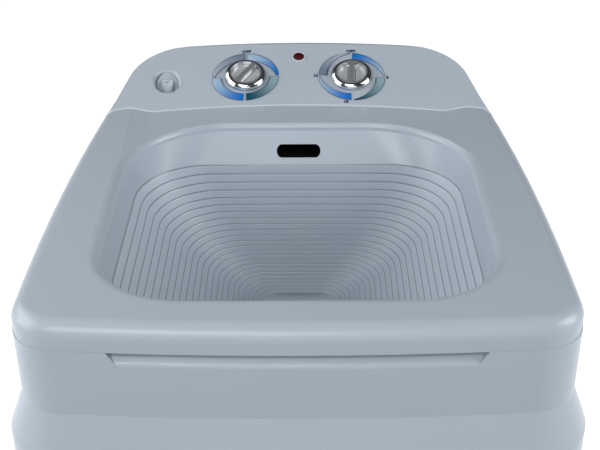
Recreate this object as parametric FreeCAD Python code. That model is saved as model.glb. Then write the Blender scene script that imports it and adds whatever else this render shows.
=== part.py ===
import FreeCAD, Part
import math
import os

# Single-tub washing machine. Millimetres, +Z up, front towards -Y.
# The origin is on the floor, under the middle of the body.

Vector = FreeCAD.Vector

# Body outline seen from above, at the deck
deck_half_width = 259.5
deck_depth = 594.0
widest_from_front = 75.0
side_bow_radius = 3400.0
front_bow_radius = 2900.0
front_corner_radius = 45.0
rear_corner_radius = 60.0
bow_spans = 4

# Body heights and walls
deck_height = 820.0
skirt_height = 27.0
deck_edge_radius = 15.0
collar_height = 70.0
flare_height = 40.0
flare = 16.0
body_lift = 12.0
body_wall = 3.0
seam_ledge = 0.8
deck_wall = 3.5
fit_gap = 0.3

# Deck recess that slopes down towards the console
recess_half_width = 206.0
recess_from_front = 146.0
recess_drop = 4.0
recess_slope_width = 28.0

# Tub opening in the deck and the band under its rolled lip
opening_half_width = 191.0
opening_from_front = 55.0
opening_length = 373.0
opening_front_radius = 85.0
opening_rear_radius = 115.0
lip_radius = 12.0
lip_steps = 5
band_wall = 4.0
flange_width = 16.0
flange_thickness = 4.0

# Ribbed tub: ring 0 is the tub's rim, and each later ring is a rib line
ring_count = 24
rim_depth = 43.4
ring_rate = 12.955
ring_crowding = 0.0268
rim_half_width = 185.0
ring_step = 5.84
rim_front_inset = 20.0
rim_rear_inset = 28.0
ring_end_step = 0.65
rim_corner_radius = 80.0
ring_corner_step = 2.6
groove_depth = 1.6
groove_share = 0.14
tub_wall = 5.0
well_radius = 118.0
well_depth = 380.0
well_edge_radius = 18.0
well_wall = 4.0

# Overflow slot in the band and the water box behind it
slot_length = 52.0
slot_height = 12.5
slot_depth = 30.75
box_half_width = 38.0
box_depth = 48.0
box_top_depth = 17.0
box_height = 43.0
box_wall = 2.5

# Console at the rear of the deck
console_tilt = math.radians(22.0)
foot_from_front = 485.0
console_bow_radius = 830.0
console_rise = 41.0
console_roll = math.radians(60.0)
console_roll_steps = 3
console_toe = 30.0
console_wall = 3.0
console_top_half_front = 212.0
console_top_half_rear = 196.0
console_top_corner = 60.0
console_top_bow = 850.0
console_rear_inset = 3.0
console_lug_depth = 10.0
console_lug_width = 60.0
panel_screw_x = 90.0

# Dials, knobs and what they turn
dial_x = 67.0
dial_up = 51.0
selector_rest_turn = -38.0
knob_radius = 26.6
knob_height = 8.5
knob_lift = 0.8
knob_edge = 1.5
knob_bulge = 1.6
knob_crest_radius = 19.5
scoop_radius = 18.3
scoop_floor = 2.0
grip_top_width = 6.2
grip_foot_width = 10.0
insert_thickness = 1.2
spindle_radius = 3.0
spindle_depth = 30.0
spindle_reach = 6.0
spindle_hole_radius = 6.0
spindle_fit = 0.05
switch_half = 22.0
switch_height = 24.0
timer_radius = 26.0
timer_height = 30.0

# Power lamp
lamp_up = 85.0
lamp_radius = 7.2
lamp_dome = 3.0
lamp_bezel_radius = 8.6
lamp_bezel_height = 1.2
lamp_holder_radius = 5.0
lamp_holder_length = 24.0

# Water inlet cup and spout in the console
inlet_x = -165.0
inlet_up = 51.0
inlet_half_width = 18.5
inlet_half_length = 22.0
inlet_corner_radius = 17.5
inlet_cup_depth = 30.0
inlet_cup_wall = 4.0
inlet_lip_radius = 3.5
spout_radius = 7.0
spout_head = 12.0
spout_neck_radius = 6.0
spout_bore_radius = 4.5
spout_inset = 5.0
spout_up = 6.0
nipple_length = 14.0
hose_wall = 2.0
inlet_hose_drop = 56.0
inlet_hose_lead = 42.0

# Front handle recess
handle_half_length = 169.0
handle_height = 12.0
handle_depth = 14.0
handle_edge_radius = 6.0
handle_end_slant = 8.0

# Rear service cover
cover_half_width = 150.0
cover_bottom = 112.0
cover_top = 570.0
cover_thickness = 2.5
cover_land = 15.0
pad_thickness = 4.0
vent_count = 7
vent_half_length = 90.0
vent_height = 6.0
vent_pitch = 16.0

# Pockets in the rear wall for the drain and the mains inlet
pocket_half = 28.0
pocket_depth = 40.0
pocket_height = 70.0
drain_x = -70.0
gland_x = 90.0

# Base tray and feet
tray_thickness = 3.0
tray_rim_height = 24.0
foot_radius = 22.0
foot_socket_depth = 6.0
foot_x = 205.0
foot_y = 225.0

# Drive under the tub
shaft_radius = 7.0
shaft_fit = 0.05
bush_radius = 12.0
bush_length = 18.0
housing_radius = 24.0
housing_flange_radius = 48.0
housing_flange = 6.0
housing_length = 61.0
housing_relief = 2.0
seal_radius = 20.0
seal_height = 6.0
boss_radius = 9.0
boss_length = 17.0
boss_x = 94.0
boss_y = 34.0
plate_thickness = 4.0
plate_half_depth = 85.0
plate_left = 180.0
plate_right = 252.0
plate_clearance = 2.0
pulley_drop = 80.0
pulley_height = 22.0
driven_pitch_radius = 84.0
motor_pitch_radius = 21.0
groove_width = 10.0
belt_width = 8.0
belt_height = 8.5
pulley_lip = 5.0
hub_radius = 15.0
web_thickness = 5.0
motor_x = 190.0
motor_radius = 60.0
motor_height = 140.0
motor_shaft_radius = 6.0
motor_hole_radius = 14.0
motor_bolt_radius = 48.0

# Pulsator
pulsator_radius = 108.0
pulsator_gap = 5.0
pulsator_edge = 8.0
pulsator_crown = 26.0
pulsator_half_height = 16.0
vane_count = 4
vane_radius = 11.0
vane_inner = 26.0
vane_outer = 98.0
cap_radius = 14.0
cap_height = 6.0

# Capacitor on the drive plate
capacitor_radius = 20.0
capacitor_height = 75.0
capacitor_x = -150.0
capacitor_y = -100.0
clamp_thickness = 1.5
clamp_height = 14.0

# Drain and overflow pipes
drain_radius = 17.0
drain_wall = 3.0
drain_port_x = -70.0
drain_port_offset = 60.0
drain_run_drop = 44.0
drain_rear_y = 215.0
drain_bend = 30.0
tee_radius = 22.0
tee_gap = 31.0
tee_half_length = 25.0
tee_branch = 16.0
overflow_x = -10.0
overflow_radius = 10.0
overflow_bend = 18.0
overflow_drop = 72.0
overflow_slope_drop = 72.0
spigot_radius = 14.0
spigot_bore_radius = 11.0
spigot_head = 26.0
spigot_neck_radius = 13.0
spigot_tip_inset = 8.0
spigot_collar_radius = 20.0
spigot_collar = 8.0
gland_radius = 11.0
gland_bore_radius = 4.5
gland_relief_radius = 6.5
gland_collar_radius = 15.0
gland_collar = 4.0
gland_nose = 8.0
gland_nose_radius = 7.5
lead_radius = 4.0
lead_bend = 22.0
lead_drop = 66.0
lead_slope_drop = 88.0
lead_motor_rise = 66.0

# Fasteners
screw_radius = 2.0
screw_head_radius = 4.0
screw_head_height = 2.0
bolt_radius = 2.5
bolt_head_radius = 5.0
bolt_head_height = 4.0

# Levels and places worked out from the sizes above
front_y = -deck_depth / 2
rear_y = deck_depth / 2
body_rear_y = rear_y + flare
seam_z = deck_height - skirt_height
flare_top_z = seam_z - collar_height
flare_bottom_z = flare_top_z - flare_height
opening_front_y = front_y + opening_from_front
opening_rear_y = opening_front_y + opening_length
opening_middle_y = (opening_front_y + opening_rear_y) / 2
rim_z = deck_height - rim_depth
well_floor_z = deck_height - well_depth
well_under_z = well_floor_z - well_wall
drain_run_z = well_under_z - drain_run_drop
tee_height = drain_run_z - drain_bend - tee_gap - tee_half_length
recess_z = deck_height - recess_drop
foot_line_y = front_y + foot_from_front
console_axis_y = foot_line_y - console_bow_radius
console_top_z = recess_z + console_rise
console_base_z = deck_height - deck_edge_radius
console_toe_y = foot_line_y - console_toe
plate_top_z = well_under_z - boss_length
plate_under_z = plate_top_z - plate_thickness
pulley_z = well_under_z - pulley_drop
Z = Vector(0, 0, 1)
rearward = Vector(0, 1, 0)
forward = Vector(0, -1, 0)
rightward = Vector(1, 0, 0)
level_tolerance = 0.01


def block(x0, x1, y0, y1, z0, z1):
    return Part.makeBox(x1 - x0, y1 - y0, z1 - z0, Vector(x0, y0, z0))


def post(radius, x, y, z0, z1):
    return Part.makeCylinder(radius, z1 - z0, Vector(x, y, z0))


def sleeve(radius, bore, x, y, z0, z1):
    return post(radius, x, y, z0, z1).cut(post(bore, x, y, z0, z1))


def rod(radius, start, direction, length):
    return Part.makeCylinder(radius, length, start, direction)


def edges_at(shape, z):
    """The edges of a shape that lie at one height."""
    level = []
    for edge in shape.Edges:
        box = edge.BoundBox
        if abs(box.ZMin - z) < level_tolerance and abs(box.ZMax - z) < level_tolerance:
            level.append(edge)
    return level


def line(start, end):
    return Part.LineSegment(start, end).toShape()


def arc(start, middle, end):
    return Part.Arc(start, middle, end).toShape()


def joined(shapes):
    whole = shapes[0]
    for shape in shapes[1:]:
        whole = whole.fuse(shape)
    return whole.removeSplitter()


def save(name, shapes):
    shape = shapes if isinstance(shapes, Part.Shape) else Part.makeCompound(shapes)
    shape.exportStep("parts/" + name + ".step")


def toward(centre, target, distance):
    """The point at a distance from a centre, on the line to a target."""
    return centre + (target - centre).normalize() * distance


def corner_centre(first, first_radius, second, second_radius):
    """Where two circles cross, on the side nearer to the right and the front or rear."""
    apart = second - first
    along = (first_radius ** 2 - second_radius ** 2 + apart.Length ** 2) / (2 * apart.Length)
    aside = math.sqrt(first_radius ** 2 - along ** 2)
    unit = Vector(apart).normalize()
    foot = first + unit * along
    options = [foot + Vector(-unit.y, unit.x, 0) * aside, foot - Vector(-unit.y, unit.x, 0) * aside]
    return max(options, key=lambda point: point.x)


def outline_points(grow):
    """Tangent points and corner centres of the right half of the body's outline."""
    front_centre = Vector(0, front_y + front_bow_radius, 0)
    side_centre = Vector(deck_half_width - side_bow_radius, front_y + widest_from_front, 0)
    front_corner = corner_centre(front_centre, front_bow_radius - front_corner_radius,
                                 side_centre, side_bow_radius - front_corner_radius)
    rear_corner_y = rear_y - rear_corner_radius
    side_reach = side_bow_radius - rear_corner_radius
    rear_corner_x = side_centre.x + math.sqrt(side_reach ** 2 - (rear_corner_y - side_centre.y) ** 2)
    rear_corner = Vector(rear_corner_x, rear_corner_y, 0)
    front_tangent = toward(front_centre, front_corner, front_bow_radius + grow)
    side_front = toward(side_centre, front_corner, side_bow_radius + grow)
    side_rear = toward(side_centre, rear_corner, side_bow_radius + grow)
    rear_tangent = Vector(rear_corner_x, rear_y + grow, 0)
    front_middle = toward(front_corner, (front_tangent + side_front) / 2, front_corner_radius + grow)
    rear_middle = toward(rear_corner, (side_rear + rear_tangent) / 2, rear_corner_radius + grow)
    return front_tangent, front_middle, side_front, side_rear, rear_middle, rear_tangent


def side_point(y, grow):
    """The outline's right side at a given depth."""
    reach = side_bow_radius + grow
    centre_x = deck_half_width - side_bow_radius
    return Vector(centre_x + math.sqrt(reach ** 2 - (y - front_y - widest_from_front) ** 2), y, 0)


def mirrored(point):
    return Vector(-point.x, point.y, point.z)


def front_point(x, grow):
    """The outline's bowed front at a given place across."""
    reach = front_bow_radius + grow
    return Vector(x, front_y + front_bow_radius - math.sqrt(reach ** 2 - x ** 2), 0)


def spread_arcs(start, end, point_at):
    """A long shallow bow as a few arcs in a row, through points given by one coordinate."""
    step = (end - start) / bow_spans
    arcs = []
    for span in range(bow_spans):
        low = start + step * span
        arcs.append(arc(point_at(low), point_at(low + step / 2), point_at(low + step)))
    return arcs


def outline(grow, z):
    """The body's outline, moved outwards by grow, as a wire at one height."""
    points = outline_points(grow)
    front_tangent, front_middle, side_front, side_rear, rear_middle, rear_tangent = points
    front_edges = spread_arcs(-front_tangent.x, front_tangent.x, lambda x: front_point(x, grow))
    right_edges = spread_arcs(side_front.y, side_rear.y, lambda y: side_point(y, grow))
    left_edges = spread_arcs(side_rear.y, side_front.y, lambda y: mirrored(side_point(y, grow)))
    edges = front_edges
    edges += [arc(front_tangent, front_middle, side_front)]
    edges += right_edges
    edges += [
        arc(side_rear, rear_middle, rear_tangent),
        line(rear_tangent, mirrored(rear_tangent)),
        arc(mirrored(rear_tangent), mirrored(rear_middle), mirrored(side_rear)),
    ]
    edges += left_edges
    edges += [arc(mirrored(side_front), mirrored(front_middle), mirrored(front_tangent))]
    wire = Part.Wire(edges)
    wire.translate(Vector(0, 0, z))
    return wire


def body_loft(levels):
    """A solid through the outline at several heights, each a pair of height and growth."""
    return Part.makeLoft([outline(grow, z) for z, grow in levels], True, True)


def rounded_rectangle(half, front, rear, front_radius, rear_radius, z):
    """A rounded rectangle as a wire, centred on X."""
    slack = 1 - math.sqrt(0.5)
    fr = front_radius
    rr = rear_radius
    edges = [
        line(Vector(-half + fr, front, z), Vector(half - fr, front, z)),
        arc(Vector(half - fr, front, z), Vector(half - fr * slack, front + fr * slack, z),
            Vector(half, front + fr, z)),
        line(Vector(half, front + fr, z), Vector(half, rear - rr, z)),
        arc(Vector(half, rear - rr, z), Vector(half - rr * slack, rear - rr * slack, z),
            Vector(half - rr, rear, z)),
        line(Vector(half - rr, rear, z), Vector(-half + rr, rear, z)),
        arc(Vector(-half + rr, rear, z), Vector(-half + rr * slack, rear - rr * slack, z),
            Vector(-half, rear - rr, z)),
        line(Vector(-half, rear - rr, z), Vector(-half, front + fr, z)),
        arc(Vector(-half, front + fr, z), Vector(-half + fr * slack, front + fr * slack, z),
            Vector(-half + fr, front, z)),
    ]
    return Part.Wire(edges)


def opening_wire(grow, z):
    return rounded_rectangle(opening_half_width + grow, opening_front_y - grow, opening_rear_y + grow,
                             opening_front_radius + grow, opening_rear_radius + grow, z)


def ring_depth(place):
    """Depth of a rib line under the deck; the lines crowd together towards the bottom."""
    return (rim_depth + ring_rate * place) / (1 + ring_crowding * place)


def ring_wire(place, grow, z):
    """The tub's section at a rib line, which may lie between two lines."""
    radius = rim_corner_radius - ring_corner_step * place + grow
    return rounded_rectangle(rim_half_width - ring_step * place + grow,
                             opening_front_y + rim_front_inset + ring_end_step * place - grow,
                             opening_rear_y - rim_rear_inset - ring_end_step * place + grow,
                             radius, radius, z)


def run_path(points, bend):
    """Straight runs joined by tangent arcs of one radius."""
    edges = []
    last = points[0]
    for before, point, after in zip(points, points[1:], points[2:]):
        inward = (before - point).normalize()
        outward = (after - point).normalize()
        half_angle = inward.getAngle(outward) / 2
        cut = bend / math.tan(half_angle)
        centre = point + (inward + outward).normalize() * (bend / math.sin(half_angle))
        start = point + inward * cut
        end = point + outward * cut
        edges.append(line(last, start))
        edges.append(arc(start, toward(centre, point, bend), end))
        last = end
    edges.append(line(last, points[-1]))
    return Part.Wire(edges)


def bent_rod(points, radius, bend):
    path = run_path(points, bend)
    section = Part.Wire(Part.makeCircle(radius, points[0], points[1] - points[0]))
    return path.makePipeShell([section], True, False)


def bent_tube(points, radius, bore, bend):
    return bent_rod(points, radius, bend).cut(bent_rod(points, bore, bend))


def console_place(x, up):
    """Point on the console's face and its axes: across, up the slope and out of the face."""
    reach = console_bow_radius + up * math.cos(console_tilt)
    swing = math.asin(x / reach)
    point = Vector(x, console_axis_y + reach * math.cos(swing), recess_z + up * math.sin(console_tilt))
    radial = Vector(math.sin(swing), math.cos(swing), 0)
    upward = radial * math.cos(console_tilt) + Z * math.sin(console_tilt)
    outward = Z * math.cos(console_tilt) - radial * math.sin(console_tilt)
    return point, upward, outward


def seated(shape, x, up, turn=0.0):
    """A shape modelled on a level face, moved to its place on the console's face."""
    point, upward, outward = console_place(x, up)
    rotation = FreeCAD.Rotation(upward.cross(outward), upward, outward, "ZYX")
    spin = FreeCAD.Rotation(Z, turn)
    moved = shape.copy()
    moved.Placement = FreeCAD.Placement(point, rotation.multiply(spin))
    return moved


def inlet_wire(grow, z):
    """The oval of the water inlet, on a level face."""
    radius = inlet_corner_radius + grow
    half_length = inlet_half_length + grow
    return rounded_rectangle(inlet_half_width + grow, -half_length, half_length, radius, radius, z)


def inlet_post(grow, z0, z1):
    return Part.Face(inlet_wire(grow, z0)).extrude(Z * (z1 - z0))


def screw(point, direction, length, head_radius, head_height, radius):
    """A fastener whose head lies under its seat at the point and whose shank goes along the direction."""
    head = Part.makeCylinder(head_radius, head_height, point - direction * head_height, direction)
    shank = Part.makeCylinder(radius, length, point, direction)
    return joined([head, shank])


def console_side_wire(inset, z):
    """The rear part of the body's outline, closed by a straight line along the console's toe."""
    side_rear, rear_middle, rear_tangent = outline_points(-inset)[3:]
    toe_y = console_toe_y
    side_front = side_point(toe_y, -inset)
    side_middle = side_point((toe_y + side_rear.y) / 2, -inset)
    wire = Part.Wire([
        line(mirrored(side_front), side_front),
        arc(side_front, side_middle, side_rear),
        arc(side_rear, rear_middle, rear_tangent),
        line(rear_tangent, mirrored(rear_tangent)),
        arc(mirrored(rear_tangent), mirrored(rear_middle), mirrored(side_rear)),
        arc(mirrored(side_rear), mirrored(side_middle), mirrored(side_front)),
    ])
    wire.translate(Vector(0, 0, z))
    return wire


def console_top_wire(inset, z):
    """The console's arched top edge with its rounded corners, as a closed wire."""
    half_front = console_top_half_front - inset
    half_rear = console_top_half_rear - inset
    rear = rear_y - console_rear_inset - inset
    front_right = Vector(half_front, console_toe_y, 0)
    sharp = Vector(half_rear, rear - half_rear ** 2 / (2 * console_top_bow), 0)
    rear_x = half_rear - console_top_corner
    corner_start = toward(sharp, front_right, console_top_corner)
    corner_end = Vector(rear_x, rear - rear_x ** 2 / (2 * console_top_bow), 0)
    right_corner = Part.BezierCurve()
    right_corner.setPoles([corner_start, sharp, corner_end])
    left_corner = Part.BezierCurve()
    left_corner.setPoles([mirrored(corner_end), mirrored(sharp), mirrored(corner_start)])
    wire = Part.Wire([
        line(mirrored(front_right), front_right),
        line(front_right, corner_start),
        right_corner.toShape(),
        arc(corner_end, Vector(0, rear, 0), mirrored(corner_end)),
        left_corner.toShape(),
        line(mirrored(corner_start), mirrored(front_right)),
    ])
    wire.translate(Vector(0, 0, z))
    return wire


def console_face(drop):
    """The cone in front of and above the console's dished face, lowered by drop."""
    spread = math.tan(console_tilt)
    low_z = recess_z - console_bow_radius * spread / 4 - drop
    high_z = console_top_z + console_rise
    low_radius = console_bow_radius * 3 / 4
    high_radius = console_bow_radius + (high_z + drop - recess_z) / spread
    return Part.makeCone(low_radius, high_radius, high_z - low_z, Vector(0, console_axis_y, low_z))


def console_solid(inset, face_drop):
    """The console's outer form, whose sides start with the deck's rolled edge, or its hollow."""
    wires = []
    for step in range(console_roll_steps + 1):
        angle = console_roll * step / console_roll_steps
        roll = deck_edge_radius * (1 - math.cos(angle))
        wires.append(console_side_wire(inset + roll, console_base_z + deck_edge_radius * math.sin(angle)))
    wires.append(console_top_wire(inset, console_top_z - inset))
    return Part.makeLoft(wires, True, True).cut(console_face(face_drop))


def console_space():
    """Everything behind the console's face and above its foot, which the deck leaves free."""
    reach = deck_half_width + flare
    space = block(-reach, reach, console_toe_y, body_rear_y, console_base_z, console_top_z)
    return space.cut(console_face(0))


def flat_face(*corners):
    return Part.Face(Part.makePolygon(list(corners) + [corners[0]]))


def recess_wedge(grow, lower):
    """The shallow space above the sloped deck recess, with flat side slopes that widen to the rear."""
    start_y = front_y + recess_from_front
    end_y = rear_y + deck_edge_radius
    share = (end_y - start_y) / (foot_line_y - start_y)
    level = deck_height - lower
    top_z = deck_height + deck_edge_radius
    tip = recess_half_width - recess_slope_width / 2 + grow
    crest = tip + recess_slope_width / 2 * share
    dip = tip - recess_slope_width / 2 * share
    low_tips = [Vector(side * tip, start_y, level) for side in (-1, 1)]
    high_tips = [Vector(side * tip, start_y, top_z) for side in (-1, 1)]
    low_crests = [Vector(side * crest, end_y, level) for side in (-1, 1)]
    high_crests = [Vector(side * crest, end_y, top_z) for side in (-1, 1)]
    dips = [Vector(side * dip, end_y, level - recess_drop * share) for side in (-1, 1)]
    faces = [
        flat_face(low_tips[0], dips[0], dips[1], low_tips[1]),
        flat_face(low_tips[0], low_crests[0], dips[0]),
        flat_face(low_tips[1], dips[1], low_crests[1]),
        flat_face(low_tips[0], high_tips[0], high_crests[0], low_crests[0]),
        flat_face(low_tips[1], low_crests[1], high_crests[1], high_tips[1]),
        flat_face(dips[0], low_crests[0], high_crests[0], high_crests[1], low_crests[1], dips[1]),
        flat_face(low_tips[0], low_tips[1], high_tips[1], high_tips[0]),
        flat_face(high_tips[0], high_tips[1], high_crests[1], high_crests[0]),
    ]
    return Part.Solid(Part.Shell(faces))


def band_hollow():
    """The space inside the rolled lip and the plain band above the tub."""
    wires = [opening_wire(lip_radius, deck_height + lip_radius)]
    for step in range(lip_steps + 1):
        angle = math.pi / 2 * step / lip_steps
        wires.append(opening_wire(lip_radius * (1 - math.sin(angle)),
                                  deck_height - lip_radius * (1 - math.cos(angle))))
    wires.append(ring_wire(0, 0, rim_z))
    return Part.makeLoft(wires, True, True)


def band_mass():
    """The outside of the lip and band, with the flange that the tub hangs from."""
    wires = [
        opening_wire(lip_radius + band_wall, deck_height),
        opening_wire(band_wall, deck_height - lip_radius - band_wall),
        ring_wire(0, band_wall, rim_z),
    ]
    flange = Part.Face(ring_wire(0, flange_width, rim_z)).extrude(Vector(0, 0, flange_thickness))
    return Part.makeLoft(wires, True, True).fuse(flange)


def slot_cutter():
    """The overflow slot, cut straight towards the rear."""
    z = deck_height - slot_depth
    half = slot_height / 2
    straight = slot_length / 2 - half
    y0 = opening_middle_y
    y1 = opening_rear_y + flange_width
    middle = block(-straight, straight, y0, y1, z - half, z + half)
    ends = [rod(half, Vector(x, y0, z), rearward, y1 - y0) for x in (-straight, straight)]
    return joined([middle] + ends)


def filleted_deck(grow, z0, z1, radius):
    """The outline as a slab with its upper edge rounded."""
    slab = Part.Face(outline(grow, z0)).extrude(Vector(0, 0, z1 - z0))
    return slab.makeFillet(radius, edges_at(slab, z1))


def tub_screw_points():
    """Places of the screws along the tub's flange."""
    reach = (band_wall + flange_width) / 2
    side = rim_half_width + reach
    front = opening_front_y + rim_front_inset - reach
    rear = opening_rear_y - rim_rear_inset + reach
    third = rim_half_width - rim_corner_radius
    span = opening_length / 6
    points = [(x, y) for x in (-third, third) for y in (front, rear)]
    points += [(x, opening_middle_y + y) for x in (-side, side) for y in (-span, span)]
    return points


def make_top_cover():
    outer = filleted_deck(0, seam_z, deck_height, deck_edge_radius)
    hollow = filleted_deck(-deck_wall, seam_z, deck_height - deck_wall, deck_edge_radius - deck_wall)
    hollow = hollow.cut(recess_wedge(deck_wall, deck_wall))
    cover = outer.cut(hollow).fuse(band_mass())
    cover = cover.cut(recess_wedge(0, 0)).cut(band_hollow())
    cover = cover.cut(console_space()).cut(slot_cutter())
    for x, y in tub_screw_points():
        cover = cover.cut(post(screw_radius, x, y, rim_z, rim_z + flange_thickness))
    for x in (-panel_screw_x, panel_screw_x):
        cover = cover.cut(rod(screw_radius, Vector(x, rear_y, panel_screw_z()), forward, deck_wall))
    save("top_cover", cover.removeSplitter())


def panel_screw_z():
    return console_base_z - console_lug_depth / 2


def make_tub_screws():
    seat_z = rim_z - flange_thickness
    save("tub_screws", [screw(Vector(x, y, seat_z), Z, 2 * flange_thickness, screw_head_radius,
                              screw_head_height, screw_radius) for x, y in tub_screw_points()])


def make_wash_tub():
    wires = [
        ring_wire(0, groove_depth, rim_z),
        ring_wire(groove_share, 0, deck_height - ring_depth(groove_share)),
    ]
    for ring in range(1, ring_count):
        for place, grow in ((ring - groove_share, 0), (ring, groove_depth), (ring + groove_share, 0)):
            wires.append(ring_wire(place, grow, deck_height - ring_depth(place)))
    wires.append(ring_wire(ring_count, 0, deck_height - ring_depth(ring_count)))
    hollow = Part.makeLoft(wires, True, True)
    outer_wires = [ring_wire(0, tub_wall, rim_z)]
    for ring in range(3, ring_count + 1, 3):
        drop = tub_wall if ring == ring_count else 0
        outer_wires.append(ring_wire(ring, tub_wall, deck_height - ring_depth(ring) - drop))
    outer = Part.makeLoft(outer_wires, True, True)
    flange = Part.Face(ring_wire(0, flange_width, rim_z - flange_thickness)).extrude(Z * flange_thickness)
    well_top = deck_height - ring_depth(ring_count / 3)
    well = post(well_radius, 0, opening_middle_y, well_floor_z, well_top)
    well = well.makeFillet(well_edge_radius, edges_at(well, well_floor_z))
    cup = post(well_radius + well_wall, 0, opening_middle_y, well_under_z, well_top)
    tub = outer.fuse(flange).fuse(cup).cut(hollow).cut(well)
    for x, y in boss_places():
        tub = tub.fuse(sleeve(boss_radius, bolt_radius, x, y, plate_top_z, well_under_z))
    tub = tub.cut(post(seal_radius, 0, opening_middle_y, well_under_z, well_floor_z))
    tub = tub.cut(post(drain_radius - drain_wall, drain_port_x, drain_port_y(), well_under_z, well_floor_z))
    for x, y in housing_bolt_places():
        tub = tub.cut(post(bolt_radius, x, y, well_under_z, well_floor_z))
    for x, y in tub_screw_points():
        tub = tub.cut(post(screw_radius, x, y, rim_z - flange_thickness, rim_z))
    save("wash_tub", tub.removeSplitter())


def boss_places():
    return [(x, opening_middle_y + y) for x in (-boss_x, boss_x) for y in (-boss_y, boss_y)]


def housing_bolt_places():
    reach = (housing_radius + housing_flange_radius) / 2
    angles = [math.pi / 4 + math.pi / 2 * turn for turn in range(4)]
    return [(reach * math.cos(angle), opening_middle_y + reach * math.sin(angle)) for angle in angles]


def drain_port_y():
    return opening_middle_y + drain_port_offset


def make_console():
    drop = console_wall / math.cos(console_tilt)
    console = console_solid(0, 0).cut(console_solid(console_wall, drop))
    lug_z0 = console_base_z - console_lug_depth
    lug_rear = rear_y - deck_wall - fit_gap
    for x in (-panel_screw_x, panel_screw_x):
        x0 = x - console_lug_width / 2
        x1 = x + console_lug_width / 2
        lug = block(x0, x1, lug_rear - console_wall, lug_rear, lug_z0, lug_z0 + 2 * console_lug_depth)
        shelf = block(x0, x1, lug_rear - console_wall, rear_y - console_wall, lug_z0 + console_lug_depth,
                      lug_z0 + 2 * console_lug_depth)
        console = console.fuse(lug).fuse(shelf)
        console = console.cut(rod(screw_radius, Vector(x, lug_rear, panel_screw_z()), forward, console_wall))
    below = -3 * console_wall
    above = 3 * console_wall
    for x in (-dial_x, dial_x):
        console = console.cut(seated(post(spindle_hole_radius, 0, 0, below, above), x, dial_up))
    console = console.cut(seated(post(lamp_radius, 0, 0, below, above), 0, lamp_up))
    console = console.cut(seated(inlet_post(0, below, above), inlet_x, inlet_up))
    save("control_panel", console.removeSplitter())
    length = deck_wall + fit_gap + console_wall
    save("panel_screws", [screw(Vector(x, rear_y, panel_screw_z()), forward, length, screw_head_radius,
                                screw_head_height, screw_radius) for x in (-panel_screw_x, panel_screw_x)])


def knob_mass():
    """The low domed knob before its scoops are cut, on a level face."""
    edge_z = knob_lift + knob_edge
    top_z = knob_lift + knob_height
    edge = Vector(knob_radius, 0, edge_z)
    crest = Vector(knob_crest_radius, 0, top_z)
    chord = crest - edge
    bulge = (edge + crest) / 2 + Vector(chord.z, 0, -chord.x).normalize() * knob_bulge
    foot = Vector(knob_radius, 0, knob_lift)
    middle_low = Vector(0, 0, knob_lift)
    middle_high = Vector(0, 0, top_z)
    profile = Part.Wire([
        line(middle_low, foot),
        line(foot, edge),
        arc(edge, bulge, crest),
        line(crest, middle_high),
        line(middle_high, middle_low),
    ])
    return Part.Face(profile).revolve(Vector(0, 0, 0), Z, 360)


def grip_prism():
    """The grip bar across the knob, wider at its foot than at its top."""
    top_half = grip_top_width / 2
    foot_half = grip_foot_width / 2
    low_z = knob_lift + scoop_floor
    high_z = knob_lift + knob_height
    face = Part.Face(Part.makePolygon([
        Vector(-foot_half, -knob_radius, low_z),
        Vector(foot_half, -knob_radius, low_z),
        Vector(top_half, -knob_radius, high_z),
        Vector(-top_half, -knob_radius, high_z),
        Vector(-foot_half, -knob_radius, low_z),
    ]))
    return face.extrude(Vector(0, 2 * knob_radius, 0))


def make_knob(name, x, turn):
    """A chrome knob with a grip bar between two scoops, its pale inserts and its spindle."""
    low_z = knob_lift + scoop_floor
    scoops = post(scoop_radius, 0, 0, low_z, knob_lift + knob_height).cut(grip_prism())
    bore = post(spindle_radius, 0, 0, 0, spindle_reach)
    save(name + "_knob", seated(knob_mass().cut(scoops).cut(bore), x, dial_up, turn))
    insert_top = low_z + insert_thickness
    disc = post(scoop_radius - fit_gap, 0, 0, low_z, insert_top)
    gap = grip_foot_width / 2 + fit_gap
    left = disc.common(block(-knob_radius, -gap, -knob_radius, knob_radius, low_z, insert_top))
    right = disc.common(block(gap, knob_radius, -knob_radius, knob_radius, low_z, insert_top))
    save(name + "_inserts", [seated(left, x, dial_up, turn), seated(right, x, dial_up, turn)])
    save(name + "_shaft", seated(post(spindle_radius, 0, 0, -spindle_depth, spindle_reach), x, dial_up, turn))


def make_controls():
    make_knob("selector", -dial_x, selector_rest_turn)
    make_knob("timer", dial_x, 0.0)
    top = -console_wall - fit_gap
    bore = spindle_radius + spindle_fit
    switch = block(-switch_half, switch_half, -switch_half, switch_half, top - switch_height, top)
    switch = switch.cut(post(bore, 0, 0, -spindle_depth - fit_gap, top))
    save("selector_switch", seated(switch, -dial_x, dial_up))
    timer = post(timer_radius, 0, 0, top - timer_height, top)
    timer = timer.cut(post(bore, 0, 0, -spindle_depth - fit_gap, top))
    save("timer_body", seated(timer, dial_x, dial_up))


def make_lamp():
    lens = post(lamp_radius - fit_gap, 0, 0, -console_wall, lamp_bezel_height)
    dome_radius = ((lamp_radius - fit_gap) ** 2 + lamp_dome ** 2) / (2 * lamp_dome)
    dome = Part.makeSphere(dome_radius, Vector(0, 0, lamp_bezel_height + lamp_dome - dome_radius))
    cap = dome.common(post(lamp_radius - fit_gap, 0, 0, lamp_bezel_height, lamp_bezel_height + lamp_dome))
    save("lamp_lens", seated(joined([lens, cap]), 0, lamp_up))
    bezel = sleeve(lamp_bezel_radius, lamp_radius, 0, 0, fit_gap / 3, lamp_bezel_height)
    save("lamp_bezel", seated(bezel, 0, lamp_up))
    holder = post(lamp_holder_radius, 0, 0, -console_wall - lamp_holder_length, -console_wall)
    save("lamp_holder", seated(holder, 0, lamp_up))


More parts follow.
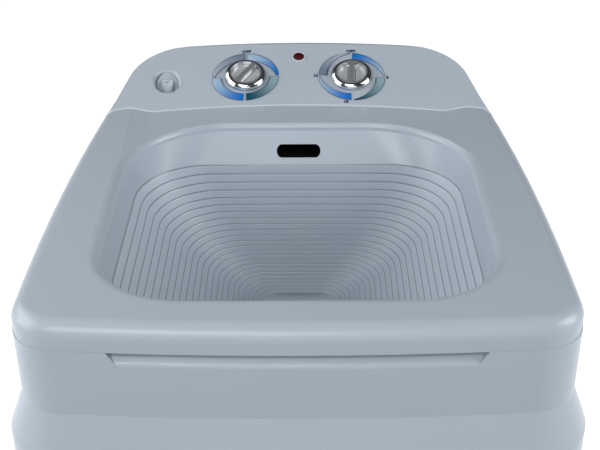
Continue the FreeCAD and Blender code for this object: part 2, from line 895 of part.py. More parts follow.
def make_inlet():
    """The oval cup with a rolled lip, and the spout that stands in it."""
    outer = inlet_post(-fit_gap / 3, -inlet_cup_depth, 0)
    mouth = inlet_lip_radius - inlet_cup_wall
    wires = [inlet_wire(mouth, inlet_lip_radius)]
    for step in range(lip_steps + 1):
        angle = math.pi / 2 * step / lip_steps
        wires.append(inlet_wire(mouth - inlet_lip_radius * math.sin(angle),
                                -inlet_lip_radius * (1 - math.cos(angle))))
    wires.append(inlet_wire(-inlet_cup_wall, inlet_cup_wall - inlet_cup_depth))
    cup = outer.cut(Part.makeLoft(wires, True, True))
    tip = spout_tip()
    tail = tip - Z * spout_length()
    cup = seated(cup, inlet_x, inlet_up).cut(rod(spout_neck_radius, tail, Z, spout_length()))
    save("inlet_cup", cup)
    spout = joined([
        rod(spout_neck_radius, tail, Z, spout_length()),
        rod(spout_radius, tip - Z * spout_head, Z, spout_head),
    ])
    save("inlet_spout", spout.cut(rod(spout_bore_radius, tail, Z, spout_length())))


def spout_tip():
    """The middle of the spout's mouth, a little under the console's face."""
    point, upward, outward = console_place(inlet_x, inlet_up + spout_up)
    return point - Z * spout_inset


def spout_length():
    """The spout's upright length: through the cup's floor and on as a nipple for the hose."""
    slope = math.tan(console_tilt)
    return inlet_cup_depth / math.cos(console_tilt) + spout_up * slope + nipple_length


def box_front_y():
    return opening_rear_y - rim_rear_inset + flange_width + fit_gap


def make_water_box():
    """The chamber behind the overflow slot, with an inlet nipple and an overflow nipple."""
    y0 = box_front_y()
    y1 = y0 + box_depth
    z1 = deck_height - box_top_depth
    z0 = z1 - box_height
    w = box_wall
    box = block(-box_half_width, box_half_width, y0, y1, z0, z1)
    box = box.fuse(post(overflow_radius, overflow_x, box_middle_y(), z0 - nipple_length, z0))
    port = Vector(-box_half_width - nipple_length, box_middle_y(), inlet_port_z())
    box = box.fuse(rod(spout_radius, port, rightward, nipple_length))
    box = box.cut(block(-box_half_width + w, box_half_width - w, y0 + w, y1 - w, z0 + w, z1 - w))
    box = box.cut(post(overflow_radius - hose_wall, overflow_x, box_middle_y(), z0 - nipple_length, z0 + w))
    box = box.cut(rod(spout_bore_radius, port, rightward, nipple_length + w))
    box = box.cut(slot_cutter()).cut(band_mass())
    save("water_box", box.removeSplitter())


def box_middle_y():
    return box_front_y() + box_depth / 2


def inlet_port_z():
    return deck_height - box_top_depth - box_height * 3 / 4


def make_hoses():
    start = spout_tip() - Z * spout_length()
    turn_point = start - Z * inlet_hose_drop
    port = Vector(-box_half_width - nipple_length, box_middle_y(), inlet_port_z())
    near_port = port - rightward * inlet_hose_lead
    inlet = bent_tube([start, turn_point, near_port, port], spout_radius, spout_bore_radius, overflow_bend)
    save("inlet_hose", inlet)
    top_z = deck_height - box_top_depth - box_height - nipple_length
    path = [
        Vector(overflow_x, box_middle_y(), top_z),
        Vector(overflow_x, box_middle_y(), top_z - overflow_drop),
        Vector(overflow_x, drain_rear_y, top_z - overflow_drop - overflow_slope_drop),
        Vector(overflow_x, drain_rear_y, tee_height),
        Vector(drain_port_x + tee_radius + tee_branch, drain_rear_y, tee_height),
    ]
    save("overflow_hose", bent_tube(path, overflow_radius, overflow_radius - hose_wall, overflow_bend))


def pocket_wall_y():
    return body_rear_y - pocket_depth - body_wall


def make_drain():
    spigot_start = pocket_wall_y() - spigot_collar
    path = [
        Vector(drain_port_x, drain_port_y(), well_under_z),
        Vector(drain_port_x, drain_port_y(), drain_run_z),
        Vector(drain_port_x, drain_rear_y, drain_run_z),
        Vector(drain_port_x, drain_rear_y, pocket_height),
        Vector(drain_port_x, spigot_start, pocket_height),
    ]
    pipe = bent_tube(path, drain_radius, drain_radius - drain_wall, drain_bend)
    tee = Vector(drain_port_x, drain_rear_y, tee_height)
    branch_length = tee_radius + tee_branch
    branch_bore = rod(overflow_radius - hose_wall, tee, rightward, branch_length)
    save("drain_pipe", pipe.cut(branch_bore))
    low_z = tee_height - tee_half_length
    high_z = tee_height + tee_half_length
    body = post(tee_radius, drain_port_x, drain_rear_y, low_z, high_z)
    body = body.fuse(rod(overflow_radius, tee, rightward, branch_length)).cut(branch_bore)
    save("drain_tee", body.cut(post(drain_radius, drain_port_x, drain_rear_y, low_z, high_z)))
    seat = Vector(drain_x, spigot_start, pocket_height)
    tube_length = body_rear_y - spigot_tip_inset - spigot_start
    spigot = joined([
        rod(spigot_collar_radius, seat, rearward, spigot_collar),
        rod(spigot_neck_radius, seat, rearward, tube_length),
        rod(spigot_radius, seat + rearward * (tube_length - spigot_head), rearward, spigot_head),
    ])
    save("drain_spigot", spigot.cut(rod(spigot_bore_radius, seat, rearward, tube_length)))


def make_cord_gland():
    wall_y = pocket_wall_y() + body_wall
    seat = Vector(gland_x, pocket_wall_y() - gland_collar, pocket_height)
    face = Vector(gland_x, wall_y, pocket_height)
    nose_seat = face + rearward * gland_collar
    gland = joined([
        rod(gland_collar_radius, seat, rearward, gland_collar),
        rod(gland_radius, seat, rearward, gland_collar + body_wall),
        rod(gland_collar_radius, face, rearward, gland_collar),
        Part.makeCone(gland_collar_radius, gland_nose_radius, gland_nose, nose_seat, rearward),
    ])
    gland = gland.cut(rod(gland_relief_radius, seat, rearward, 2 * gland_collar + body_wall))
    save("cord_gland", gland.cut(rod(gland_bore_radius, seat, rearward, pocket_depth)))


def rear_pocket(x):
    """Outer and inner boxes of a square pocket in the rear wall."""
    z0 = pocket_height - pocket_half
    z1 = pocket_height + pocket_half
    w = body_wall
    outer = block(x - pocket_half - w, x + pocket_half + w, pocket_wall_y(), body_rear_y - w, z0 - w, z1 + w)
    inner = block(x - pocket_half, x + pocket_half, pocket_wall_y() + w, body_rear_y, z0, z1)
    return outer, inner


def handle_prism(grow):
    """The handle recess as seen from the front, under the seam, with slanted ends."""
    top_half = handle_half_length + grow
    low_half = handle_half_length - handle_end_slant + grow
    low_z = seam_z - handle_height - grow
    start_y = front_y - flare
    face = Part.Face(Part.makePolygon([
        Vector(-top_half, start_y, seam_z),
        Vector(-low_half, start_y, low_z),
        Vector(low_half, start_y, low_z),
        Vector(top_half, start_y, seam_z),
        Vector(-top_half, start_y, seam_z),
    ]))
    return face.extrude(Vector(0, opening_front_y - start_y, 0))


def handle_floor(inset):
    """The body's outline drawn in as it rises to the seam, whose front is the recess's sloped floor."""
    low_z = seam_z - handle_height - body_wall
    slope = handle_depth / handle_height
    low_grow = seam_ledge + slope * body_wall - inset
    return body_loft([(low_z, low_grow), (seam_z, seam_ledge - handle_depth - inset)])


def handle_edges(shell):
    """The long front edge of the recess's floor."""
    low = edges_at(shell, seam_z - handle_height)
    return [edge for edge in low if edge.BoundBox.YMax < front_y + handle_depth]


def make_cabinet():
    levels = [(body_lift, flare), (flare_bottom_z, flare), (flare_top_z, seam_ledge), (seam_z, seam_ledge)]
    outer = body_loft(levels)
    inner = body_loft([(z, grow - body_wall) for z, grow in levels])
    shell = outer.cut(inner)
    behind = body_wall * math.hypot(handle_height, handle_depth) / handle_height
    trough = handle_prism(body_wall).common(inner).cut(handle_floor(behind))
    shell = shell.fuse(trough).cut(handle_prism(0).cut(handle_floor(0)))
    shell = shell.makeFillet(handle_edge_radius, handle_edges(shell))
    pad_y = body_rear_y - body_wall
    land = cover_half_width + cover_land
    pad = block(-land, land, pad_y - pad_thickness, pad_y, cover_bottom - cover_land, cover_top + cover_land)
    shell = shell.fuse(pad)
    half = cover_half_width + fit_gap
    shell = shell.cut(block(-half, half, body_rear_y - cover_thickness, body_rear_y,
                            cover_bottom - fit_gap, cover_top + fit_gap))
    window = cover_half_width - cover_land
    shell = shell.cut(block(-window, window, pad_y - pad_thickness, body_rear_y,
                            cover_bottom + cover_land, cover_top - cover_land))
    for x, radius in ((drain_x, spigot_neck_radius), (gland_x, gland_radius)):
        pocket_outer, pocket_inner = rear_pocket(x)
        shell = shell.fuse(pocket_outer).cut(pocket_inner)
        shell = shell.cut(rod(radius, Vector(x, pocket_wall_y(), pocket_height), rearward, body_wall))
    depth = body_wall + pad_thickness
    for point in cover_screw_points():
        shell = shell.cut(rod(screw_radius, point, forward, depth))
    for point, inward in base_screw_places():
        outside = point - inward * body_wall
        shell = shell.cut(rod(screw_radius, outside, inward, 3 * body_wall))
        shell = shell.cut(rod(screw_head_radius + fit_gap, outside, inward, body_wall + screw_head_height))
    save("cabinet_shell", shell.removeSplitter())


def cover_screw_points():
    """Places on the cover's outer face, two columns of three."""
    x = cover_half_width - cover_land / 2
    middle = (cover_bottom + cover_top) / 2
    reach = (cover_top - cover_bottom - cover_land) / 2
    return [Vector(side * x, body_rear_y, middle + step * reach) for side in (-1, 1) for step in (-1, 0, 1)]


def make_rear_cover():
    y0 = body_rear_y - cover_thickness
    cover = block(-cover_half_width, cover_half_width, y0, body_rear_y, cover_bottom, cover_top)
    middle = (cover_bottom + cover_top) / 2
    for place in range(vent_count):
        z = middle + (place - (vent_count - 1) / 2) * vent_pitch
        cover = cover.cut(block(-vent_half_length, vent_half_length, y0, body_rear_y,
                                z - vent_height / 2, z + vent_height / 2))
    screws = []
    for point in cover_screw_points():
        seat = point + forward * screw_head_height
        cover = cover.cut(rod(screw_head_radius + fit_gap, point, forward, screw_head_height))
        cover = cover.cut(rod(screw_radius, point, forward, cover_thickness))
        length = body_wall + pad_thickness - screw_head_height
        screws.append(screw(seat, forward, length, screw_head_radius, screw_head_height, screw_radius))
    save("rear_cover", cover)
    save("rear_cover_screws", screws)


def base_screw_places():
    """Points on the body's outer face low down on both sides, with the way in."""
    places = []
    z = body_lift + tray_rim_height / 2
    for side in (-1, 1):
        for y in (-foot_y / 2, foot_y / 2):
            point = side_point(y, flare)
            places.append((Vector(side * point.x, y, z), Vector(-side, 0, 0)))
    return places


def foot_places():
    """Name and place of each foot."""
    return [
        ("foot_front_left", -foot_x, -foot_y),
        ("foot_front_right", foot_x, -foot_y),
        ("foot_rear_left", -foot_x, foot_y),
        ("foot_rear_right", foot_x, foot_y),
    ]


def make_base():
    grow = flare - body_wall - fit_gap
    floor_top = body_lift + tray_thickness
    rim_top = body_lift + tray_rim_height
    tray = body_loft([(body_lift, grow), (rim_top, grow)])
    tray = tray.cut(body_loft([(floor_top, grow - tray_thickness), (rim_top, grow - tray_thickness)]))
    socket_top = body_lift + foot_socket_depth
    for name, x, y in foot_places():
        tray = tray.fuse(post(foot_radius + tray_thickness, x, y, body_lift, socket_top + tray_thickness))
        tray = tray.cut(post(foot_radius, x, y, body_lift, socket_top))
    screws = []
    for point, inward in base_screw_places():
        length = body_wall + fit_gap + tray_thickness
        seat = point + inward * screw_head_height
        tray = tray.cut(rod(screw_radius, seat, inward, 2 * length))
        screws.append(screw(seat, inward, length, screw_head_radius, screw_head_height, screw_radius))
    save("base_tray", tray)
    save("base_screws", screws)
    for name, x, y in foot_places():
        foot = post(foot_radius, x, y, 0, socket_top)
        save(name, foot.makeFillet(body_lift / 4, edges_at(foot, 0)))


def make_bearing():
    y = opening_middle_y
    housing = post(housing_flange_radius, 0, y, well_under_z - housing_flange, well_under_z)
    housing = housing.fuse(post(housing_radius, 0, y, well_under_z - housing_length, well_under_z))
    low_z = well_under_z - housing_length
    housing = housing.cut(post(bush_radius, 0, y, low_z, low_z + bush_length))
    housing = housing.cut(post(bush_radius, 0, y, well_under_z - bush_length, well_under_z))
    housing = housing.cut(post(shaft_radius + housing_relief, 0, y, low_z, well_under_z))
    for x, bolt_y in housing_bolt_places():
        housing = housing.cut(post(bolt_radius, x, bolt_y, well_under_z - housing_flange, well_under_z))
    save("bearing_housing", housing.removeSplitter())
    bore = shaft_radius + shaft_fit
    save("lower_bush", sleeve(bush_radius, bore, 0, y, low_z, low_z + bush_length))
    save("upper_bush", sleeve(bush_radius, bore, 0, y, well_under_z - bush_length, well_under_z))
    save("shaft_seal", sleeve(seal_radius, bore, 0, y, well_under_z, well_under_z + seal_height))
    seat_z = well_under_z - housing_flange
    save("housing_bolts", [screw(Vector(x, bolt_y, seat_z), Z, housing_flange + well_wall, bolt_head_radius,
                                 bolt_head_height, bolt_radius) for x, bolt_y in housing_bolt_places()])


def make_drive_plate():
    y = opening_middle_y
    plate = block(-plate_left, plate_right, y - plate_half_depth, y + plate_half_depth,
                  plate_under_z, plate_top_z)
    plate = plate.cut(post(housing_radius + plate_clearance, 0, y, plate_under_z, plate_top_z))
    drain_hole = drain_radius + plate_clearance
    plate = plate.cut(post(drain_hole, drain_port_x, drain_port_y(), plate_under_z, plate_top_z))
    plate = plate.cut(post(motor_hole_radius, motor_x, y, plate_under_z, plate_top_z))
    for x, bolt_y in boss_places() + motor_bolt_places():
        plate = plate.cut(post(bolt_radius, x, bolt_y, plate_under_z, plate_top_z))
    save("drive_plate", plate)
    length = plate_thickness + boss_length / 2
    save("plate_bolts", [screw(Vector(x, bolt_y, plate_under_z), Z, length, bolt_head_radius,
                               bolt_head_height, bolt_radius) for x, bolt_y in boss_places()])


def motor_bolt_places():
    angles = [math.pi / 4 + math.pi / 2 * turn for turn in range(4)]
    return [(motor_x + motor_bolt_radius * math.cos(angle),
             opening_middle_y + motor_bolt_radius * math.sin(angle)) for angle in angles]


def make_motor():
    y = opening_middle_y
    top_z = plate_top_z + motor_height
    frame = post(motor_radius, motor_x, y, plate_top_z, top_z)
    frame = frame.makeFillet(motor_radius / 5, edges_at(frame, top_z))
    frame = frame.cut(post(motor_shaft_radius + shaft_fit, motor_x, y, plate_top_z, top_z - motor_height / 4))
    for x, bolt_y in motor_bolt_places():
        frame = frame.cut(post(bolt_radius, x, bolt_y, plate_top_z, plate_top_z + 2 * plate_thickness))
    save("motor_frame", frame)
    save("motor_bolts", [screw(Vector(x, bolt_y, plate_under_z), Z, 3 * plate_thickness, bolt_head_radius,
                               bolt_head_height, bolt_radius) for x, bolt_y in motor_bolt_places()])
    shaft_low = pulley_z - pulley_height / 2
    save("motor_shaft", post(motor_shaft_radius, motor_x, y, shaft_low, top_z - motor_height / 4 - fit_gap))


def pulley(pitch_radius, bore, hub, x):
    """A belt pulley with a straight-sided groove, a hub and, where there is room, a thin web."""
    y = opening_middle_y
    z0 = pulley_z - pulley_height / 2
    z1 = pulley_z + pulley_height / 2
    rim = pitch_radius + pulley_lip
    floor = pitch_radius - pulley_lip
    wheel = post(rim, x, y, z0, z1)
    groove = sleeve(rim, floor, x, y, pulley_z - groove_width / 2, pulley_z + groove_width / 2)
    wheel = wheel.cut(groove)
    if floor > 2 * hub:
        hollow_radius = floor - web_thickness
        wheel = wheel.cut(sleeve(hollow_radius, hub, x, y, z0, pulley_z - web_thickness / 2))
        wheel = wheel.cut(sleeve(hollow_radius, hub, x, y, pulley_z + web_thickness / 2, z1))
    return wheel.cut(post(bore, x, y, z0, z1))


def belt_loop(grow):
    """The belt's line around both pulleys: two arcs and two tangent runs."""
    big = driven_pitch_radius + grow
    small = motor_pitch_radius + grow
    lean = math.acos((big - small) / motor_x)
    y = opening_middle_y
    z = pulley_z - belt_width / 2
    upper = Vector(math.cos(lean), math.sin(lean), 0)
    lower = Vector(math.cos(lean), -math.sin(lean), 0)
    left = Vector(0, y, z)
    right = Vector(motor_x, y, z)
    return Part.Wire([
        arc(left + upper * big, left - Vector(big, 0, 0), left + lower * big),
        line(left + lower * big, right + lower * small),
        arc(right + lower * small, right + Vector(small, 0, 0), right + upper * small),
        line(right + upper * small, left + upper * big),
    ])


def make_belt_drive():
    y = opening_middle_y
    z0 = pulley_z - pulley_height / 2
    save("driven_pulley", pulley(driven_pitch_radius, shaft_radius, hub_radius, 0))
    save("motor_pulley", pulley(motor_pitch_radius, motor_shaft_radius, hub_radius, motor_x))
    inner = Part.Face(belt_loop(fit_gap - pulley_lip))
    outer = Part.Face(belt_loop(fit_gap - pulley_lip + belt_height))
    save("drive_belt", outer.cut(inner).extrude(Z * belt_width))
    save("pulley_nut", sleeve(hub_radius, shaft_radius, 0, y, z0 - hub_radius / 2, z0))


def make_pulsator():
    y = opening_middle_y
    z0 = well_floor_z + pulsator_gap
    crown = pulsator_crown
    profile = [
        line(Vector(0, 0, 0), Vector(pulsator_radius, 0, 0)),
        line(Vector(pulsator_radius, 0, 0), Vector(pulsator_radius, 0, pulsator_edge)),
        arc(Vector(pulsator_radius, 0, pulsator_edge), Vector(pulsator_radius / 2, 0, pulsator_half_height),
            Vector(0, 0, crown)),
        line(Vector(0, 0, crown), Vector(0, 0, 0)),
    ]
    disc = Part.Face(Part.Wire(profile)).revolve(Vector(0, 0, 0), Z, 360)
    for place in range(vane_count):
        root = Vector(vane_inner, 0, crown / 2)
        vane = Part.makeCone(vane_radius, vane_radius / 2, vane_outer - vane_inner, root, rightward)
        vane = vane.fuse(Part.makeSphere(vane_radius, root))
        vane = vane.cut(post(pulsator_radius, 0, 0, -crown, 0))
        vane.rotate(Vector(0, 0, 0), Z, 360 / vane_count * place)
        disc = disc.fuse(vane)
    disc = disc.cut(post(shaft_radius, 0, 0, 0, crown))
    disc.translate(Vector(0, y, z0))
    save("pulsator", disc)
    cap = post(cap_radius, 0, y, z0 + crown, z0 + crown + cap_height)
    save("pulsator_cap", cap.makeFillet(cap_height / 2, edges_at(cap, z0 + crown + cap_height)))
    shaft_low = pulley_z - pulley_height / 2 - hub_radius / 2
    save("pulsator_shaft", post(shaft_radius, 0, y, shaft_low, z0 + crown))


def make_capacitor():
    y = capacitor_y
    save("capacitor", post(capacitor_radius, capacitor_x, y, plate_top_z, plate_top_z + capacitor_height))
    ring = sleeve(capacitor_radius + clamp_thickness, capacitor_radius, capacitor_x, y,
                  plate_top_z, plate_top_z + clamp_height)
    tab_end = capacitor_y - capacitor_radius - clamp_height
    tab = block(capacitor_x - clamp_height / 2, capacitor_x + clamp_height / 2, tab_end,
                capacitor_y - capacitor_radius, plate_top_z, plate_top_z + clamp_thickness)
    tab = tab.cut(post(capacitor_radius, capacitor_x, y, plate_top_z, plate_top_z + clamp_height))
    save("capacitor_clamp", joined([ring, tab]))


def make_motor_lead():
    """The lead from the timer down the rear of the body to the motor."""
    point, upward, outward = console_place(dial_x, dial_up)
    start = point - outward * (console_wall + fit_gap + timer_height) + upward * timer_radius / 2
    below = start - outward * lead_drop
    motor_top = plate_top_z + motor_height
    path = [
        start,
        below,
        Vector(motor_x, drain_rear_y, below.z - lead_slope_drop),
        Vector(motor_x, drain_rear_y, motor_top + lead_motor_rise),
        Vector(motor_x, opening_middle_y, motor_top + lead_motor_rise),
        Vector(motor_x, opening_middle_y, motor_top),
    ]
    save("motor_lead", bent_rod(path, lead_radius, lead_bend))


def build():
    os.makedirs("parts", exist_ok=True)
    make_top_cover()
    make_tub_screws()
    make_wash_tub()
    make_console()
    make_controls()
    make_lamp()
    make_inlet()
    make_water_box()
    make_hoses()
    make_drain()
    make_cord_gland()
    make_cabinet()
    make_rear_cover()
    make_base()
    make_bearing()
    make_drive_plate()
    make_motor()
    make_belt_drive()
    make_pulsator()
    make_capacitor()
    make_motor_lead()


build()
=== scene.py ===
import bpy
import math
import numpy as np
from mathutils import Matrix


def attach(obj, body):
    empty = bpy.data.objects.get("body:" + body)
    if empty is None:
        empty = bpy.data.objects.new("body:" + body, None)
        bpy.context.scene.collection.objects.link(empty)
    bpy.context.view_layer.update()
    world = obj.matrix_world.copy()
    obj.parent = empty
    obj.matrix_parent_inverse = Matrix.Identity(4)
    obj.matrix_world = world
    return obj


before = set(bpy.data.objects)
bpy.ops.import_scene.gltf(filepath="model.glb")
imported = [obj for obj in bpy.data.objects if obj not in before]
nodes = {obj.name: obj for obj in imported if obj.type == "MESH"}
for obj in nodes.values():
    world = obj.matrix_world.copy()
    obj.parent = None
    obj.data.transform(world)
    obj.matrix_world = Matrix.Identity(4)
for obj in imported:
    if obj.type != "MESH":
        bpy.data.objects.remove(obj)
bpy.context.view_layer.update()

# Feet, seal, belt, hoses, lead and cord gland.
# Moulded or extruded rubber and soft vinyl: matt, a little mottled, pushed on or pressed into their seats.
rubber_black = (0.020, 0.020, 0.022)
vinyl_grey = (0.16, 0.17, 0.18)


def finish(name, colour, shade, broad, roughness, grain, depth, metallic=0.0, stretch=(1.0, 1.0, 1.0)):
    """A finish on Object coordinates. Colour is the base times one plus or minus shade, by a broad noise.
    Roughness follows the same noise by an eighth, and a fine noise of the given grain is the bump."""
    noise_low = 0.3
    noise_high = 0.7
    broad_detail = 3.0
    fine_detail = 2.0
    gloss_swing = 0.125
    bump_height = 0.0002
    material = bpy.data.materials.new(name)
    material.use_nodes = True
    tree = material.node_tree
    shader = tree.nodes["Principled BSDF"]
    shader.inputs["Metallic"].default_value = metallic
    place = tree.nodes.new("ShaderNodeTexCoord")
    draw = tree.nodes.new("ShaderNodeMapping")
    draw.inputs["Scale"].default_value = stretch
    drift = tree.nodes.new("ShaderNodeTexNoise")
    drift.inputs["Scale"].default_value = broad
    drift.inputs["Detail"].default_value = broad_detail
    ramp = tree.nodes.new("ShaderNodeValToRGB")
    ramp.color_ramp.elements[0].position = noise_low
    ramp.color_ramp.elements[1].position = noise_high
    ramp.color_ramp.elements[0].color = [c * (1 - shade) for c in colour] + [1]
    ramp.color_ramp.elements[1].color = [c * (1 + shade) for c in colour] + [1]
    gloss = tree.nodes.new("ShaderNodeMapRange")
    gloss.inputs["From Min"].default_value = noise_low
    gloss.inputs["From Max"].default_value = noise_high
    gloss.inputs["To Min"].default_value = roughness * (1 - gloss_swing)
    gloss.inputs["To Max"].default_value = roughness * (1 + gloss_swing)
    fine = tree.nodes.new("ShaderNodeTexNoise")
    fine.inputs["Scale"].default_value = grain
    fine.inputs["Detail"].default_value = fine_detail
    bump = tree.nodes.new("ShaderNodeBump")
    bump.inputs["Strength"].default_value = depth
    bump.inputs["Distance"].default_value = bump_height
    link = tree.links.new
    link(place.outputs["Object"], draw.inputs["Vector"])
    link(draw.outputs["Vector"], drift.inputs["Vector"])
    link(draw.outputs["Vector"], fine.inputs["Vector"])
    link(drift.outputs["Fac"], ramp.inputs["Fac"])
    link(drift.outputs["Fac"], gloss.inputs["Value"])
    link(ramp.outputs["Color"], shader.inputs["Base Color"])
    link(gloss.outputs["Result"], shader.inputs["Roughness"])
    link(fine.outputs["Fac"], bump.inputs["Height"])
    link(bump.outputs["Normal"], shader.inputs["Normal"])
    return material


def dress(material, *names):
    """Gives a finish to CAD nodes whose shape stays."""
    for name in names:
        mesh = nodes[name].data
        mesh.materials.clear()
        mesh.materials.append(material)


rubber = finish("rubber", rubber_black, shade=0.25, broad=40.0, roughness=0.62, grain=1500.0, depth=0.5)
vinyl = finish("vinyl", vinyl_grey, shade=0.08, broad=25.0, roughness=0.42, grain=900.0, depth=0.2)
dress(rubber, "foot_front_left", "foot_front_right", "foot_rear_left", "foot_rear_right", "shaft_seal",
      "drive_belt", "cord_gland", "motor_lead")
dress(vinyl, "inlet_hose", "overflow_hose")

# Base tray, rear cover and drain fittings.
# Moulded from plain grey polypropylene with a fine spark-eroded grain, screwed or pushed together.
base_grey = (0.24, 0.27, 0.30)
base_plastic = finish("base_plastic", base_grey, shade=0.04, broad=8.0, roughness=0.5, grain=1100.0,
                      depth=0.35)
dress(base_plastic, "base_tray", "rear_cover", "drain_pipe", "drain_tee", "drain_spigot")

# Drive under the tub, and the switches and lamp holder behind the panel.
# Zinc-plated pressings and screws, cast aluminium pulleys, bronze bushes, a painted motor, black mouldings.
zinc_grey = (0.52, 0.53, 0.55)
steel_grey = (0.58, 0.58, 0.59)
cast_grey = (0.46, 0.47, 0.48)
bronze_brown = (0.50, 0.31, 0.14)
motor_black = (0.06, 0.07, 0.08)
phenolic_black = (0.025, 0.024, 0.024)
turned_marks = (1.0, 1.0, 12.0)
zinc = finish("zinc", zinc_grey, shade=0.12, broad=60.0, roughness=0.34, grain=700.0, depth=0.25,
              metallic=1.0)
ground_steel = finish("ground_steel", steel_grey, shade=0.06, broad=30.0, roughness=0.22, grain=900.0,
                      depth=0.2, metallic=1.0, stretch=turned_marks)
cast_metal = finish("cast_metal", cast_grey, shade=0.10, broad=50.0, roughness=0.46, grain=600.0, depth=0.6,
                    metallic=1.0)
bronze = finish("bronze", bronze_brown, shade=0.12, broad=70.0, roughness=0.36, grain=800.0, depth=0.3,
                metallic=1.0)
motor_paint = finish("motor_paint", motor_black, shade=0.10, broad=20.0, roughness=0.38, grain=500.0,
                     depth=0.4)
phenolic = finish("phenolic", phenolic_black, shade=0.15, broad=30.0, roughness=0.33, grain=700.0, depth=0.2)
dress(zinc, "base_screws", "rear_cover_screws", "tub_screws", "panel_screws", "plate_bolts", "housing_bolts",
      "motor_bolts", "drive_plate", "capacitor_clamp", "pulley_nut")
dress(ground_steel, "pulsator_shaft", "motor_shaft", "selector_shaft", "timer_shaft")
dress(cast_metal, "bearing_housing", "driven_pulley", "motor_pulley")
dress(bronze, "upper_bush", "lower_bush")
dress(motor_paint, "motor_frame")
dress(phenolic, "capacitor", "selector_switch", "timer_body", "lamp_holder")

# Cabinet shell, deck, console and inlet cup.
# Injection moulded in one pale blue-grey, polished in the mould, so they show soft reflections.
# The deck drops over the shell at the seam, and the console is screwed on from behind.
body_grey = (0.40, 0.46, 0.525)
body_plastic = finish("body_plastic", body_grey, shade=0.008, broad=5.0, roughness=0.32, grain=240.0,
                      depth=0.03)
dress(body_plastic, "cabinet_shell", "top_cover", "control_panel", "inlet_cup")

# Wash tub and pulsator.
# The ribbed hopper and the round plate at its bottom, moulded in the same plastic, a little less polished.
# A fine lining over the hopper's inside gives the ribs their sharp lines, with painted shade along each
# groove and a painted light line below it.
# The tub's grey is an eighth lighter than the body's: painted light for the tub's inside, which the lamps
# light less.
tub_grey_painted_light = (0.45, 0.52, 0.588)
tub_axis_y = -0.0555
rim_half_width = 0.185
rim_rear = 0.1585
rim_front = 0.1665
rim_corner = 0.080
side_lean = 0.00584
end_lean = 0.00065
corner_shrink = 0.0026
deck_z = 0.820
rim_depth = 0.0434
ring_rate = 0.012955
ring_crowding = 0.0268
ring_count = 24
groove_depth = 0.0004
groove_share = 0.14
lining_skin = 0.0008
lining_film_share = 0.7
lining_top = -0.07
lining_columns = 200
well_radius = 0.118
well_mouth_radius = 0.106
well_mouth_ring = 13.5
well_low_z = 0.460


def add_piece(name, mesh, material, body):
    """Links a mesh as a smooth-shaded piece that rides on a body."""
    mesh.materials.append(material)
    mesh.shade_smooth()
    piece = bpy.data.objects.new(name, mesh)
    bpy.context.scene.collection.objects.link(piece)
    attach(piece, body)
    return piece


def full_turn(steps):
    """Angles of a full turn in even steps, as one row of an array."""
    return np.linspace(0.0, 2 * math.pi, steps, endpoint=False)[None, :]


def points_from(x, y, z):
    """Points from arrays of X, Y and Z, each spread to the size of the largest."""
    return np.stack(np.broadcast_arrays(x, y, z), axis=-1)


def grid_mesh(name, points, round_columns=False):
    """A mesh from a grid of points: each cell between two rows and two columns is a quad.
    U runs along the rows' index and V along the columns'. Round columns close on themselves."""
    rows, columns = points.shape[:2]
    index = np.arange(rows * columns).reshape(rows, columns)
    if round_columns:
        index = np.concatenate([index, index[:, :1]], axis=1)
    quads = np.stack([index[:-1, :-1], index[1:, :-1], index[1:, 1:], index[:-1, 1:]], axis=-1).reshape(-1, 4)
    mesh = bpy.data.meshes.new(name)
    mesh.from_pydata(points.reshape(-1, 3).tolist(), [], quads.tolist())
    along = (quads // columns) / (rows - 1)
    beside = (quads % columns) / (columns - 1)
    layer = mesh.uv_layers.new(name="UVMap")
    layer.data.foreach_set("uv", np.stack([along, beside], axis=-1).ravel())
    return mesh


def thicken(piece, depth):
    """Closes a sheet into a thin slab, whose depth grows against the way its faces look."""
    film = piece.modifiers.new("film", "SOLIDIFY")
    film.thickness = depth
    film.offset = -1.0


def ring_depth(place):
    """How far a ring lies under the deck, for a ring number that may fall between two rings: the rim's depth
    plus an even step per ring, divided by one plus the crowding per ring."""
    return (rim_depth + ring_rate * place) / (1 + ring_crowding * place)


def rounded_reach(turn, half_width, rear, front, corner):
    """Distance from the middle of a rounded rectangle to its outline, in the direction of a turn. On a side
    it is the half size over the turn's cosine or sine, and on a corner it ends where the ray leaves the
    corner's circle."""
    across = np.maximum(np.abs(np.cos(turn)), 1e-6)
    along = np.maximum(np.abs(np.sin(turn)), 1e-6)
    end = np.where(np.sin(turn) > 0, rear, front)
    reach = np.minimum(half_width / across, end / along)
    centre_x = half_width - corner
    centre_y = end - corner
    in_corner = (reach * across > centre_x) & (reach * along > centre_y)
    toward = across * centre_x + along * centre_y
    rest = toward ** 2 - centre_x ** 2 - centre_y ** 2 + corner ** 2
    return np.where(in_corner, toward + np.sqrt(np.maximum(rest, 0.0)), reach)


def hopper_radius(turn, place, grow):
    """Distance from the tub's axis to its wall, at one ring. The wall's section is a rounded rectangle that
    shrinks evenly with the ring's number, moved out by grow."""
    half_width = rim_half_width - side_lean * place + grow
    rear = rim_rear - end_lean * place + grow
    front = rim_front - end_lean * place + grow
    return rounded_reach(turn, half_width, rear, front, rim_corner - corner_shrink * place + grow)


